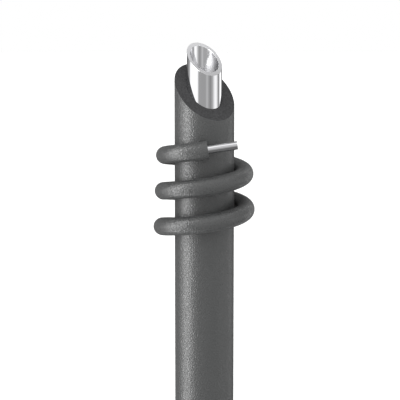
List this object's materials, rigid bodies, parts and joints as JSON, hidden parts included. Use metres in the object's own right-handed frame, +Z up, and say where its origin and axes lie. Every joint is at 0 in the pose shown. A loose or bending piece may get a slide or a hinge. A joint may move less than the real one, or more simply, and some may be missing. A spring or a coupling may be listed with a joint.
{
  "type": "pipe insulation lagging",
  "caption": "Foam lagging tube fitted on a slant-cut steel pipe, with a thin lagged pipe wound round it, to hold heat and keep off condensation.",
  "frame": {"origin": "centre of the pipe's square bottom end, on the level floor", "axes": "+Z up along the pipe, -Y towards the front of the slanted cut, +X to the right seen from the front"},
  "size_m": [0.0784, 0.0789, 1.0165],
  "materials": {
    "foam": "closed-cell foam with a matte grey skin",
    "pipe_steel": "bright polished",
    "tube_steel": "bright drawn"
  },
  "bodies": {
    "root": {"lagging_tube": "foam", "steel_pipe": "pipe_steel", "wound_lagging": "foam", "wound_pipe": "tube_steel"}
  },
  "joints": []
}
